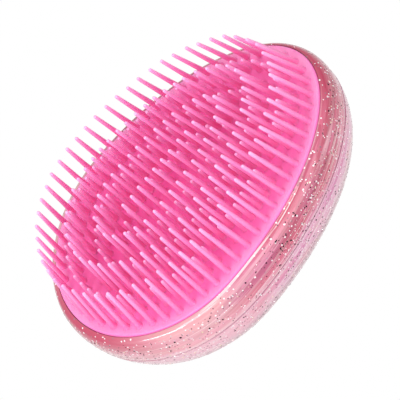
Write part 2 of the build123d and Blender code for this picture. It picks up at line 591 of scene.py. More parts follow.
def draw_glint_flecks(canvas: Canvas, source: Node, target: Node) -> None:
    """Scattered glitter flecks: cells of a fine pattern, a few bright for painted glints and fewer
    dark for painted dark reflections, thinned by a drift.

    Args:
        canvas: the group's canvas.
        source: its input node.
        target: its output node.
    """
    place = canvas.here()
    cells = canvas.add("TexVoronoi", Vector=place, Randomness=1.0)
    canvas.feed(cells, "Scale", source.outputs["Scale"])
    parts = canvas.add("SeparateColor", Color=cells.outputs["Color"])
    radius = canvas.maths("ADD", canvas.maths("MULTIPLY", parts.outputs["Blue"], 0.25), 0.22)
    small = canvas.maths("LESS_THAN", cells.outputs["Distance"], radius)
    drift = canvas.add("TexNoise", Vector=place, Scale=70.0, Detail=2.0).outputs["Fac"]
    thinned = canvas.remap(drift, 0.35, 0.65, 0.25, 1.0)
    share = canvas.maths("MULTIPLY", source.outputs["Share"], thinned)
    bright = canvas.maths("LESS_THAN", parts.outputs["Red"], share)
    fewer = canvas.maths("MULTIPLY", share, 0.5)
    dark = canvas.maths("LESS_THAN", parts.outputs["Green"], fewer)
    canvas.feed(target, "Bright", canvas.maths("MULTIPLY", bright, small))
    canvas.feed(target, "Dark", canvas.maths("MULTIPLY", dark, small))
    canvas.feed(target, "Tone", parts.outputs["Blue"])


GLINT_FLECKS = new_group("glitter_glint_flecks", {"Scale": ("Float", 1700.0), "Share": ("Float", 0.2)},
                   {"Bright": "Float", "Dark": "Float", "Tone": "Float"}, draw_glint_flecks)
GRAIN = new_group("moulded_grain", {"Scale": ("Float", 900.0)}, {"Height": "Float"}, draw_grain)
MOTTLE = new_group(
    "soft_mottle",
    {"Color": ("Color", (1, 1, 1, 1)), "Second": ("Color", (0.5, 0.5, 0.5, 1)),
     "Scale": ("Float", 60.0), "Amount": ("Float", 0.5)},
    {"Color": "Color"}, draw_mottle)


# --- finishes --------------------------------------------------------------------


@dataclass(frozen=True)
class Finish:
    """A surface finish on one Principled shader.

    Attributes:
        name: the material's name.
        constants: values set on the shader's own sockets.
    """

    name: str
    constants: dict[str, object] = field(default_factory=dict)

    def build(self) -> Material:
        """Makes the material and lets paint() fill in what varies.

        Returns:
            The material.
        """
        material = bpy.data.materials.new(self.name)
        material.use_nodes = True
        shader = material.node_tree.nodes["Principled BSDF"]
        for socket, value in self.constants.items():
            shader.inputs[socket].default_value = value
        self.paint(Canvas(material.node_tree), shader)
        return material

    def paint(self, canvas: Canvas, shader: Node) -> None:
        """Links what varies over the surface; each finish has its own."""

    def group(self, canvas: Canvas, tree: NodeTree, **inputs: object) -> Node:
        """Places a shared group with this finish's own values.

        Args:
            canvas: the material's canvas.
            tree: the group.
            **inputs: socket values or source sockets.

        Returns:
            The group's node.
        """
        node = canvas.tree.nodes.new("ShaderNodeGroup")
        node.node_tree = tree
        for key, value in inputs.items():
            canvas.feed(node, key, value)
        return node


@dataclass(frozen=True)
class SoftPink(Finish):
    """The pad's satin hot pink: deeper in the middle of the field, paler on the border."""

    def paint(self, canvas: Canvas, shader: Node) -> None:
        """Base colour by height in the dish, mottled, with a fine grain.

        Args:
            canvas: the material's canvas.
            shader: its Principled shader.
        """
        rise = canvas.remap(canvas.axis("Z"), PLAN.pad_top_z - PLAN.dish_depth, PLAN.pad_top_z)
        colour = canvas.ramp(rise, [(0.0, dye("f65bae")), (0.55, dye("f76bb8")),
                                    (0.85, dye("f97cc3")), (1.0, dye("f594c8"))])
        mottled = self.group(canvas, MOTTLE, Color=colour, Second=(*dye("f774b6"), 1), Scale=90.0,
                             Amount=0.35)
        canvas.feed(shader, "Base Color", mottled.outputs[0])
        canvas.feed(shader, "Roughness", canvas.remap(canvas.noise(150.0), 0.0, 1.0, 0.3, 0.42))
        grain = self.group(canvas, GRAIN, Scale=1100.0).outputs[0]
        canvas.feed(shader, "Normal", canvas.bump(grain, 0.04 * MM))


@dataclass(frozen=True)
class BristlePink(Finish):
    """Bristle plastic: deeper at the foot, paler and milkier at the tip."""

    def paint(self, canvas: Canvas, shader: Node) -> None:
        """Base colour along each bristle, with a tone of its own for each.

        Args:
            canvas: the material's canvas.
            shader: its Principled shader.
        """
        along = canvas.add("Attribute", {"attribute_name": "along"}).outputs["Fac"]
        tone = canvas.add("Attribute", {"attribute_name": "tone"}).outputs["Fac"]
        colour = canvas.ramp(along, [(0.0, dye("f573b2")), (0.3, dye("f789c4")),
                                     (0.75, dye("fba0d7")), (1.0, dye("ffbce6"))])
        deep = canvas.tint(tone, 0.3, colour, dye("f478b2"))
        mottled = self.group(canvas, MOTTLE, Color=deep, Second=(*dye("fd9bd4"), 1), Scale=420.0,
                             Amount=0.2)
        canvas.feed(shader, "Base Color", mottled.outputs[0])
        canvas.feed(shader, "Roughness", canvas.remap(canvas.noise(300.0), 0.0, 1.0, 0.26, 0.4))
        grain = self.group(canvas, GRAIN, Scale=1500.0).outputs[0]
        canvas.feed(shader, "Normal", canvas.bump(grain, 0.03 * MM))


@dataclass(frozen=True)
class PearlCasing(Finish):
    """Pearl-pink plastic that lets a little light through: bands by height, flow lines and flecks,
    with some painted shade, highlight and glints.

    Attributes:
        low: height at which the bands start.
        lip: height at which they end.
        wander: how far the bands drift up and down.
        edge_shade_z: height of the deep rose line near the back's turn, a painted shade along the
            shell's dark outline edge.
        edge_shade_half: half of that line's width.
        seam_half: half of the width of the line at the joint.
        cream_highlight_from: X at which the creamier fat end, partly a painted highlight, starts.
        cream_highlight_full: X at which it is full.
        blush_from: distance from the middle at which the ends' deep colour starts.
        blush_full: distance at which it is full.
        blush_rise: height above low at which it starts.
    """

    low: float = 14.0 * MM
    lip: float = 34.0 * MM
    wander: float = 2.6 * MM
    edge_shade_z: float = 12.8 * MM
    edge_shade_half: float = 2.4 * MM
    seam_half: float = 0.45 * MM
    cream_highlight_from: float = -4.0 * MM
    cream_highlight_full: float = -26.0 * MM
    blush_from: float = 33.0 * MM
    blush_full: float = 52.0 * MM
    blush_rise: float = 12.0 * MM

    def bands(self, canvas: Canvas) -> NodeSocket:
        """Colour by height: pale on the dome, crimson above the joint, rose towards the lip.

        Args:
            canvas: the material's canvas.

        Returns:
            The colour.
        """
        drift = canvas.maths("MULTIPLY", canvas.noise(45.0, 3.0, (1, 1, 0.4)), self.wander)
        offset = canvas.maths("SUBTRACT", drift, self.wander / 2)
        height = canvas.maths("ADD", canvas.axis("Z"), offset)
        return canvas.ramp(canvas.remap(height, self.low, self.lip), [
            (0.0, dye("f4c9da")), (0.3, dye("f1c2d6")), (0.45, dye("edb6cf")),
            (0.52, dye("e093b0")), (0.6, dye("d5567c")), (0.7, dye("ca3d6c")),
            (0.8, dye("b5446c")), (0.87, dye("bf5c78")), (0.93, dye("d26a88")),
            (1.0, dye("c03a60"))])

    def patches(self, canvas: Canvas) -> NodeSocket:
        """A grey for each long, low patch of the foil-like pattern.

        Args:
            canvas: the material's canvas.

        Returns:
            The colour.
        """
        mapping = canvas.add("Mapping", Scale=(75, 75, 820), Vector=canvas.here())
        cells = canvas.add("TexVoronoi", {"distance": "CHEBYCHEV"}, Vector=mapping.outputs[0],
                           Scale=1.0)
        patch = canvas.add("SeparateColor", Color=cells.outputs["Color"]).outputs["Red"]
        return canvas.ramp(patch, [(0.1, dye("7a5a66")), (0.35, dye("b08c98")),
                                   (0.7, dye("bfaab0")), (0.95, dye("e6dcd8"))])

    def foil(self, canvas: Canvas) -> NodeSocket:
        """The bands, tinted by a slow drift of colour and overlaid with the patches.

        Args:
            canvas: the material's canvas.

        Returns:
            The colour.
        """
        tints = canvas.ramp(canvas.noise(24.0, 2.0, (1, 1, 2.2)), [
            (0.32, dye("e2707f")), (0.42, dye("efb0c4")), (0.5, dye("dba6da")),
            (0.58, dye("f6d3bd")), (0.68, dye("df6a9b"))])
        drifting = canvas.mix(0.24, self.bands(canvas), tints)
        return canvas.mix(0.6, drifting, self.patches(canvas), "OVERLAY")

    def streaks(self, canvas: Canvas, flow: NodeSocket, below: NodeSocket) -> NodeSocket:
        """Soft flow lines, pale and deep, with thinner scratches over them.

        Args:
            canvas: the material's canvas.
            flow: the noise that the flow lines follow.
            below: the colour under them.

        Returns:
            The colour.
        """
        lined = canvas.tint(canvas.remap(flow, 0.5, 0.66), 0.4, below, dye("fff2f4"))
        soft = canvas.tint(canvas.remap(flow, 0.46, 0.3), 0.35, lined, dye("c8587f"))
        scratch = canvas.noise(62.0, 2.0, (0.28, 0.28, 34.0), 0.55)
        scored = canvas.tint(canvas.remap(scratch, 0.36, 0.33), 0.5, soft, dye("a84d72"))
        return canvas.tint(canvas.remap(scratch, 0.655, 0.685), 0.75, scored, dye("fff6f6"))

    def end_blush(self, canvas: Canvas) -> NodeSocket:
        """A mask for the deeper colour under the lip at the two ends.

        Args:
            canvas: the material's canvas.

        Returns:
            The mask.
        """
        from_middle = canvas.maths("ABSOLUTE", canvas.axis("X"))
        ends = canvas.remap(from_middle, self.blush_from, self.blush_full, ease="SMOOTHSTEP")
        high = canvas.remap(canvas.axis("Z"), self.low + self.blush_rise, self.lip,
                            ease="SMOOTHSTEP")
        return canvas.maths("MULTIPLY", ends, high)

    def fat_end_cream_and_highlight(self, canvas: Canvas) -> NodeSocket:
        """A mask for the creamier colour towards the fat end, which is partly a painted highlight.
        """
        return canvas.remap(canvas.axis("X"), self.cream_highlight_from, self.cream_highlight_full, ease="SMOOTHSTEP")

    def level_line(self, canvas: Canvas, middle: float, half: float) -> NodeSocket:
        """A mask for a soft line round the casing at one height."""
        away = canvas.maths("ABSOLUTE", canvas.maths("SUBTRACT", canvas.axis("Z"), middle))
        return canvas.remap(away, half, 0.0)

    def flecked_with_glints(self, canvas: Canvas, below: NodeSocket) -> NodeSocket:
        """Lays fine glitter flecks over a colour: bright ones are painted glints, dark ones painted
        dark reflections.

        Args:
            canvas: the material's canvas.
            below: the colour under them.

        Returns:
            The colour.
        """
        flecks = self.group(canvas, GLINT_FLECKS, Scale=1350.0, Share=0.27)
        # painted glints and dark reflections: near-white and dark flecks laid into the base colour
        bright = canvas.mix(flecks.outputs["Bright"], below, dye("fffafc"))
        dark = canvas.ramp(flecks.outputs["Tone"], [(0.3, dye("57323f")), (0.7, dye("a5707f"))])
        return canvas.mix(flecks.outputs["Dark"], bright, dark)

    def paint(self, canvas: Canvas, shader: Node) -> None:
        """Foil, flow lines, the ends' colours with a painted highlight at the fat end, a painted
        shade line and the seam line, flecks with painted glints and dark reflections, and the
        lines' bump.

        Args:
            canvas: the material's canvas.
            shader: its Principled shader.
        """
        flow = canvas.noise(55.0, 3.0, (0.3, 0.3, 12.0), 0.6)
        streaked = self.streaks(canvas, flow, self.foil(canvas))
        # painted highlight: a pale cream over the fat end, standing partly for the lights'
        # reflection there
        cream_and_highlight = canvas.tint(self.fat_end_cream_and_highlight(canvas), 0.5, streaked, dye("fbcfd2"))
        blushed = canvas.tint(self.end_blush(canvas), 0.95, cream_and_highlight, dye("c02b57"))
        # painted shade: a deep rose line at the height where the wall turns away at its outline
        uneven_edge_shade = canvas.remap(canvas.noise(20.0, 1.0), 0.35, 0.6, 0.45, 1.0)
        ring = self.level_line(canvas, self.edge_shade_z, self.edge_shade_half)
        edge_shaded = canvas.tint(ring, uneven_edge_shade, blushed, dye("a03266"))
        seam = self.level_line(canvas, PLAN.seam_z, self.seam_half)
        seamed = canvas.tint(seam, 0.8, edge_shaded, dye("8d4a66"))
        canvas.feed(shader, "Base Color", self.flecked_with_glints(canvas, seamed))
        canvas.feed(shader, "Roughness", canvas.remap(flow, 0.0, 1.0, 0.08, 0.2))
        canvas.feed(shader, "Normal", canvas.bump(flow, 0.08 * MM, 0.6))


@dataclass(frozen=True)
class Pearl(Finish):
    """Pearl lining: pink, lilac and cream drifting into each other, with fine striations."""

    def paint(self, canvas: Canvas, shader: Node) -> None:
        """Long bands of colour that follow the casing's length.

        Args:
            canvas: the material's canvas.
            shader: its Principled shader.
        """
        bands = canvas.ramp(canvas.noise(26.0, 2.0, (0.8, 0.8, 2.4)), [
            (0.3, (0.93, 0.6, 0.68)), (0.42, (0.9, 0.62, 0.78)), (0.5, (0.86, 0.66, 0.86)),
            (0.6, (0.96, 0.66, 0.76)), (0.7, (0.95, 0.72, 0.66))])
        fine = canvas.noise(70.0, 3.0, (0.25, 0.25, 22.0))
        lines = canvas.remap(fine, 0.4, 0.62)
        canvas.feed(shader, "Base Color", canvas.tint(lines, 0.45, bands, (0.98, 0.88, 0.9)))
        canvas.feed(shader, "Roughness", canvas.remap(fine, 0.0, 1.0, 0.18, 0.4))
        canvas.feed(shader, "Normal", canvas.bump(fine, 0.1 * MM, 0.6))


@dataclass(frozen=True)
class CarrierRose(Finish):
    """The carrier's glossy rose plastic, in view once the pad is lifted out."""

    def paint(self, canvas: Canvas, shader: Node) -> None:
        """Rose with coral and magenta drifting along the skirt.

        Args:
            canvas: the material's canvas.
            shader: its Principled shader.
        """
        colour = canvas.ramp(canvas.noise(30.0, 2.0, (0.7, 0.7, 2.0)), [
            (0.32, (0.75, 0.1, 0.24)), (0.5, (0.8, 0.12, 0.34)), (0.68, (0.86, 0.26, 0.4))])
        mottled = self.group(canvas, MOTTLE, Color=colour, Second=(0.9, 0.4, 0.45, 1), Scale=160.0,
                             Amount=0.4)
        canvas.feed(shader, "Base Color", mottled.outputs[0])
        canvas.feed(shader, "Roughness", canvas.remap(canvas.noise(120.0), 0.0, 1.0, 0.2, 0.4))
        grain = self.group(canvas, GRAIN, Scale=700.0).outputs[0]
        canvas.feed(shader, "Normal", canvas.bump(grain, 0.05 * MM))


@dataclass(frozen=True)
class GlitterFoil(Finish):
    """Cut foil flakes, each with a colour of its own; the near-black ones are painted dark
    reflections.
    """

    def paint(self, canvas: Canvas, shader: Node) -> None:
        """Colour by flake: near black for painted dark reflections, rose, pink, gold, then silver.

        Args:
            canvas: the material's canvas.
            shader: its Principled shader.
        """
        tone = canvas.add("Attribute", {"attribute_name": "tone"}).outputs["Fac"]
        # painted dark reflection: the near-black start of the ramp
        colour = canvas.ramp(tone, [
            (0.0, (0.03, 0.02, 0.03)), (0.27, (0.07, 0.03, 0.05)), (0.33, (0.5, 0.25, 0.35)),
            (0.45, (0.95, 0.7, 0.8)), (0.6, (0.98, 0.86, 0.6)), (0.75, (0.95, 0.93, 0.97)),
            (1.0, (1.0, 0.98, 1.0))])
        canvas.feed(shader, "Base Color", colour)
        canvas.feed(shader, "Roughness", canvas.remap(canvas.noise(2000.0), 0.0, 1.0, 0.1, 0.3))


# --- pieces --------------------------------------------------------------------


@dataclass
class Casing:
    """The casing: front ring, domed back cover, and the pearl lining inside.

    Attributes:
        seam_round: radius of the small rounds at the joint.
        pad_clearance: gap between the pad's edge and its recess.
        lip_land: narrowest land between the shoulder and the recess.
        ledge_thickness: thickness of the ledge under the pad.
        ledge_opening: how far the ledge runs in from the pad's outline.
        shoulder_rings: rings round the shoulder's curve.
        wall_rings: rings up each face of the front's wall.
        flat_rings: rings across a flat, inside or outside.
        flat_step: gap between the resting flat's last ring and the dome's curve.
        foot_heights: rings close together where the dome leaves its flat.
        dome_foot: height above which the dome's rings are evenly spaced.
        floor_z: height of the cover's floor.
        floor_step: gap between a floor's last ring and the wall inside.
        floor_heights: rings close together where the wall meets the floor.
        dome_rings: rings up the dome's outer face, and up its inner face.
        lining_gap: gap between the cover and the lining.
        lining_wall: thickness of the lining.
        lining_steps: heights of its close rings above its floor.
        lining_foot: height above which its rings are evenly spaced.
        lining_top: height of its edge.
        plastic: the casing's finish.
        pearl: the lining's finish.
    """

    seam_round: float = 0.35 * MM
    pad_clearance: float = 0.2 * MM
    lip_land: float = 0.2 * MM
    ledge_thickness: float = 1.6 * MM
    ledge_opening: float = 4.8 * MM
    shoulder_rings: int = 16
    wall_rings: int = 8
    flat_rings: int = 5
    flat_step: float = 0.4 * MM
    foot_heights: tuple[float, ...] = (0.12 * MM, 0.4 * MM, 0.9 * MM, 1.7 * MM, 2.8 * MM, 4.2 * MM)
    dome_foot: float = 6.0 * MM
    floor_z: float = 2.4 * MM
    floor_step: float = 0.5 * MM
    floor_heights: tuple[float, ...] = (4.6 * MM, 3.6 * MM, 2.9 * MM, 2.55 * MM)
    dome_rings: tuple[int, int] = (12, 10)
    lining_gap: float = 0.2 * MM
    lining_wall: float = 0.7 * MM
    lining_steps: tuple[float, ...] = (0.15 * MM, 0.5 * MM, 1.1 * MM, 2.0 * MM, 3.2 * MM)
    lining_foot: float = 7.5 * MM
    lining_top: float = 21.5 * MM
    plastic: Finish = PearlCasing("pearl_pink_plastic", {
        "Transmission Weight": 0.15, "IOR": 1.47, "Metallic": 0.0, "Coat Weight": 1.0,
        "Coat Roughness": 0.04})
    pearl: Finish = Pearl("pearl_lining", {
        "Metallic": 0.15, "Coat Weight": 0.6, "Coat Roughness": 0.1})

    def shoulder_end(self) -> float:
        """Turn at which the shoulder's curve stops, so that its end stays outside the recess.

        Returns:
            The turn in degrees.
        """
        bulge = EGGS[Family.CASING].narrow - EGGS[Family.PAD].narrow
        room = bulge - self.pad_clearance - self.lip_land
        return math.degrees(math.acos(1 - room / PLAN.shoulder_reach))

    def flat(self, height: float, edge: float) -> list[Spot]:
        """Profile points across a flat, from the middle out to its edge."""
        return [Spot(Family.CASING, inset, height)
                for inset in spread(EGGS[Family.CASING].side, edge, self.flat_rings)]

    def front(self, material: Material) -> Object:
        """Upper half, with its shoulder, lip and ledge.

        Args:
            material: the casing's plastic.

        Returns:
            The object.
        """
        seam, wall = PLAN.seam_z, PLAN.wall
        low_round = PLAN.casing_inset(seam) + self.seam_round
        outer = arc(Family.CASING, (low_round, seam + self.seam_round), self.seam_round, 270, 180)
        outer += curved_wall(spread(seam + 2 * self.seam_round, PLAN.widest_z, self.wall_rings))
        for turn in spread(0, self.shoulder_end(), self.shoulder_rings)[1:]:
            angle = math.radians(turn)
            inset = PLAN.shoulder_reach * (1 - math.cos(angle))
            height = PLAN.widest_z + PLAN.shoulder_height * math.sin(angle)
            outer.append(Spot(Family.CASING, inset, height))
        ledge_under = PLAN.ledge_z - self.ledge_thickness
        recess = [Spot(Family.PAD, -self.pad_clearance, z) for z in (PLAN.rim_z, PLAN.ledge_z)]
        recess += [Spot(Family.PAD, self.ledge_opening, z) for z in (PLAN.ledge_z, ledge_under)]
        inner = curved_wall(spread(ledge_under, seam, self.wall_rings), wall)
        return finished("front_shell", turned(outer + recess + inner, True), material)

    def back(self, material: Material) -> Object:
        """Lower half: a domed cup with a flat to stand on.

        Args:
            material: the casing's plastic.

        Returns:
            The object.
        """
        seam, wall = PLAN.seam_z, PLAN.wall
        outer_rings, inner_rings = self.dome_rings
        outer = self.flat(0.0, PLAN.casing_inset(0.0) + self.flat_step)
        outer += curved_wall(self.foot_heights)
        outer += curved_wall(spread(self.dome_foot, seam - 2 * self.seam_round, outer_rings))
        high_round = PLAN.casing_inset(seam) + self.seam_round
        outer += arc(Family.CASING, (high_round, seam - self.seam_round), self.seam_round, 180, 90)
        inner = curved_wall(spread(seam, self.dome_foot, inner_rings), wall)
        inner += curved_wall([*self.floor_heights, self.floor_z], wall)
        floor_edge = PLAN.casing_inset(self.floor_z, wall) + self.floor_step
        inner += self.flat(self.floor_z, floor_edge)[::-1]
        return finished("back_shell", turned(outer + inner, False), material)

    def lining_face(self, depth: float, rings: int) -> list[Spot]:
        """One face of the lining, from the middle of its floor up to its edge.

        Args:
            depth: depth of the face below the casing's outer surface.
            rings: rings up its evenly spaced part.

        Returns:
            The profile points.
        """
        face = self.flat(depth, PLAN.casing_inset(depth, depth) + self.floor_step)
        face += curved_wall([depth + step for step in self.lining_steps], depth)
        return face + curved_wall(spread(self.lining_foot, self.lining_top, rings), depth)

    def lining(self, material: Material) -> Object:
        """Thin pearl shell against the inside of the dome.

        Args:
            material: the pearl.

        Returns:
            The object.
        """
        outside = PLAN.wall + self.lining_gap
        outer_rings, inner_rings = self.dome_rings
        outer = self.lining_face(outside, outer_rings)
        inner = self.lining_face(outside + self.lining_wall, inner_rings)[::-1]
        return finished("pearl_lining", turned(outer + inner, False), material)

    def build(self) -> None:
        """Makes the two halves and the lining."""
        plastic = self.plastic.build()
        enrol(self.front(plastic), CASING_BODY, "casing", "front_casing")
        enrol(self.back(plastic), CASING_BODY, "casing", "back_cover")
        enrol(self.lining(self.pearl.build()), CASING_BODY, "liner", "pearl_liner")


@dataclass
class Glitter:
    """Foil flakes set in the casing's outer surface.

    Attributes:
        count: number of flakes.
        seed: start of the random draws.
        smallest: radius of the smallest flake.
        largest: radius of the largest.
        thickness: thickness of a flake.
        depth: how far its middle lies below the surface.
        tilt: most that it leans, in degrees.
        foot_margin: height of the lowest flakes.
        lip_margin: how far below the lip the highest are.
        slope_step: half of the height over which the wall's slope is read.
        stretch_limit: most that the surface stretches there, in narrow reaches.
        seam_margin: bare strip each side of the joint.
        box_margin: how far the flakes stay inside the CAD's box.
        dark_reflection_middle: middle of the patch where dark flakes gather, a painted dark
            reflection.
        dark_reflection_reach: how far that patch runs.
        dark_reflection_pull: how much darker its flakes are in the middle.
        foil: the flakes' finish.
    """

    count: int = 5200
    seed: int = 11
    smallest: float = 0.13 * MM
    largest: float = 0.36 * MM
    thickness: float = 0.04 * MM
    depth: float = 0.005 * MM
    tilt: float = 9.0
    foot_margin: float = 0.5 * MM
    lip_margin: float = 1.4 * MM
    slope_step: float = 0.2 * MM
    stretch_limit: float = 2.2
    seam_margin: float = 0.5 * MM
    box_margin: float = 0.08 * MM
    dark_reflection_middle: Vector = field(default_factory=lambda: Vector((4.0, -36.0, 30.0)) * MM)
    dark_reflection_reach: float = 17.0 * MM
    dark_reflection_pull: float = 0.85
    foil: Finish = GlitterFoil("glitter_foil", {"Metallic": 0.8})

    def slope(self, height: float) -> float:
        """How fast the wall runs inwards with height."""
        above, below = height + self.slope_step, height - self.slope_step
        return (PLAN.casing_inset(above) - PLAN.casing_inset(below)) / (2 * self.slope_step)

    def spots(self) -> list[tuple[Vector, Vector]]:
        """Random places on the wall, evenly dense over its surface.

        Returns:
            Each place, with the wall's outward direction there.
        """
        dice = random.Random(self.seed)
        casing = EGGS[Family.CASING]
        margin = Vector((1, 1, 1)) * self.box_margin
        lowest, highest = CAD_BOX[0] + margin, CAD_BOX[1] - margin
        found: list[tuple[Vector, Vector]] = []
        while len(found) < self.count:
            angle = dice.uniform(0, math.tau)
            height = dice.uniform(self.foot_margin, PLAN.rim_z - self.lip_margin)
            slope = self.slope(height)
            along, across = math.cos(angle), math.sin(angle)
            round_egg = math.hypot(casing.reach(along) * across, casing.side * along)
            stretch = round_egg * math.hypot(1, slope)
            if dice.random() > stretch / (self.stretch_limit * casing.narrow):
                continue
            if abs(height - PLAN.seam_z) < self.seam_margin:
                continue
            normal = (casing.outward(angle) + Vector((0, 0, slope))).normalized()
            x, y = casing.place(angle, PLAN.casing_inset(height))
            spot = Vector((x, y, height)) - normal * self.depth
            if all(low < value < high for low, value, high in zip(lowest, spot, highest)):
                found.append((spot, normal))
        return found

    def flake_shape(self) -> tuple[list[Vector], list[list[int]]]:
        """One flake: a six-sided tile, one unit in radius and thickness.

        Returns:
            Its corners, and the corners' numbers round each face.
        """
        bm = bmesh.new()
        bmesh.ops.create_cone(bm, cap_ends=True, segments=6, radius1=1.0, radius2=1.0, depth=1.0)
        corners = [vert.co.copy() for vert in bm.verts]
        sides = [[vert.index for vert in face.verts] for face in bm.faces]
        bm.free()
        return corners, sides

    def flakes(self, name: str, spots: Sequence[tuple[Vector, Vector]],
               material: Material) -> Object:
        """One object of six-sided flakes.

        Args:
            name: the piece's name.
            spots: place and wall direction of each flake.
            material: the foil.

        Returns:
            The object, with a tone for each flake.
        """
        dice = random.Random(self.seed + len(spots))
        corners, sides = self.flake_shape()
        points: list[Vector] = []
        faces: list[list[int]] = []
        tones: list[float] = []
        for place, normal in spots:
            radius = self.smallest + (self.largest - self.smallest) * dice.random() ** 2
            turn = normal.to_track_quat("Z", "Y").to_matrix().to_4x4()
            twist = Matrix.Rotation(dice.uniform(0, math.tau), 4, "Z")
            lean = Matrix.Rotation(math.radians(dice.uniform(0, self.tilt)), 4, "X")
            size = Matrix.Diagonal((radius, radius, self.thickness, 1.0))
            matrix = Matrix.Translation(place) @ turn @ twist @ lean @ size
            first = len(points)
            points += [matrix @ corner for corner in corners]
            faces += [[first + index for index in side] for side in sides]
            # painted dark reflection: flakes near one patch are pulled towards the dark tones
            dark_reflection_crowd = max(0.0, 1 - (place - self.dark_reflection_middle).length / self.dark_reflection_reach)
            tones += [dice.random() * (1 - self.dark_reflection_pull * dark_reflection_crowd)] * len(corners)
        mesh = bpy.data.meshes.new(name)
        mesh.from_pydata(points, [], faces)
        mesh.attributes.new("tone", "FLOAT", "POINT").data.foreach_set("value", tones)
        bm = bmesh.new()
        bm.from_mesh(mesh)
        bpy.data.meshes.remove(mesh)
        return finished(name, bm, material, sharp=20.0)

    def build(self) -> None:
        """Makes the flakes of each half."""
        foil = self.foil.build()
        spots = self.spots()
        upper = [spot for spot in spots if spot[0].z > PLAN.seam_z]
        lower = [spot for spot in spots if spot[0].z <= PLAN.seam_z]
        enrol(self.flakes("front_glitter", upper, foil), CASING_BODY, "casing")
        enrol(self.flakes("back_glitter", lower, foil), CASING_BODY, "casing")


@dataclass
class Carrier:
    """Rose plate and skirt under the pad, with the sockets that the pegs enter."""

    node: str = "pad_carrier"
    rose: Finish = CarrierRose("carrier_rose", {"Coat Weight": 0.3, "Coat Roughness": 0.15})

    def build(self) -> None:
        """Dresses a merged copy of the CAD solid, so that its sockets stay open."""
        bm = bmesh.new()
        bm.from_mesh(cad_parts[self.node].data)
        bmesh.ops.remove_doubles(bm, verts=bm.verts, dist=CAD_WELD)
        bmesh.ops.recalc_face_normals(bm, faces=bm.faces)
        enrol(finished("carrier_skirt", bm, self.rose.build()), CASING_BODY, "carrier", self.node)


@dataclass
class Pad:
    """The soft pad: border, dished field, plug and pegs.

    Attributes:
        plug_foot: height of the plug's underside.
        plug_inset: how far the plug lies inside the pad's outline.
        plug_ring: gap between the plug's edge and the next ring of its underside.
        under_round: size of the small round at the pad's lower edge.
        edge_round: radius of the pad's upper edge.
        field_rings: rings from the border to the middle of the field.
        peg_radius: radius of a peg.
        peg_sides: sides of a peg.
        peg_bevel: size of the bevel round a peg's foot.
        peg_overlap: how far a peg runs up into the plug.
        touch: heights nearer than this are the same.
        pegs: middles of the pegs in millimetres.
        soft: the pad's finish.
    """

    plug_foot: float = 29.6 * MM
    plug_inset: float = 5.2 * MM
    plug_ring: float = 8.0 * MM
    under_round: float = 0.25 * MM
    edge_round: float = 0.7 * MM
    field_rings: int = 22
    peg_radius: float = 2.0 * MM
    peg_sides: int = 32
    peg_bevel: float = 0.4 * MM
    peg_overlap: float = 0.5 * MM
    touch: float = 0.01 * MM
    pegs: tuple[tuple[float, float], ...] = (
        (-32, 0), (-16, 19), (-16, -19), (12, 18), (12, -18), (38, 0), (2, 0))
    soft: Finish = SoftPink("soft_hot_pink", {
        "Subsurface Weight": 0.25, "Subsurface Scale": 0.002, "Subsurface Radius": (1.0, 0.35, 0.5),
        "Specular IOR Level": 0.45})

    def profile(self) -> list[Spot]:
        """The pad's section, from the middle of the underside round to the middle of the field.

        Returns:
            The profile points.
        """
        centre_line = EGGS[Family.PAD].side
        top, ledge = PLAN.pad_top_z, PLAN.ledge_z
        rows = [(centre_line, self.plug_foot), (self.plug_inset + self.plug_ring, self.plug_foot),
                (self.plug_inset, self.plug_foot), (self.plug_inset, ledge),
                (self.under_round, ledge), (0.0, ledge + self.under_round)]
        spots = [Spot(Family.PAD, inset, z) for inset, z in rows]
        edge = self.edge_round
        spots += arc(Family.PAD, (edge, top - edge), edge, 180, 90, 6)
        return spots + [Spot(Family.PAD, inset, top)
                        for inset in spread(PLAN.dish_border, centre_line, self.field_rings)]

    def build(self) -> None:
        """Makes the pad, dishes its field and adds its pegs."""
        bm = turned(self.profile(), False)
        for vert in bm.verts:
            if vert.co.z > PLAN.pad_top_z - self.touch:
                vert.co.z = PLAN.field_z(vert.co.x, vert.co.y)
        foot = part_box("bristle_pad")[0].z
        height = self.plug_foot + self.peg_overlap - foot
        for x, y in self.pegs:
            place = Matrix.Translation((x * MM, y * MM, foot + height / 2))
            made = bmesh.ops.create_cone(bm, cap_ends=True, segments=self.peg_sides,
                                         radius1=self.peg_radius, radius2=self.peg_radius,
                                         depth=height, matrix=place)
            rim = [edge for edge in {edge for vert in made["verts"] for edge in vert.link_edges}
                   if all(vert.co.z < foot + self.touch for vert in edge.verts)]
            bmesh.ops.bevel(bm, geom=rim, offset=self.peg_bevel, segments=3, affect="EDGES",
                            profile=0.5, material=-1)
        enrol(finished("soft_pad", bm, self.soft.build()), PAD_BODY, "pad", "bristle_pad")


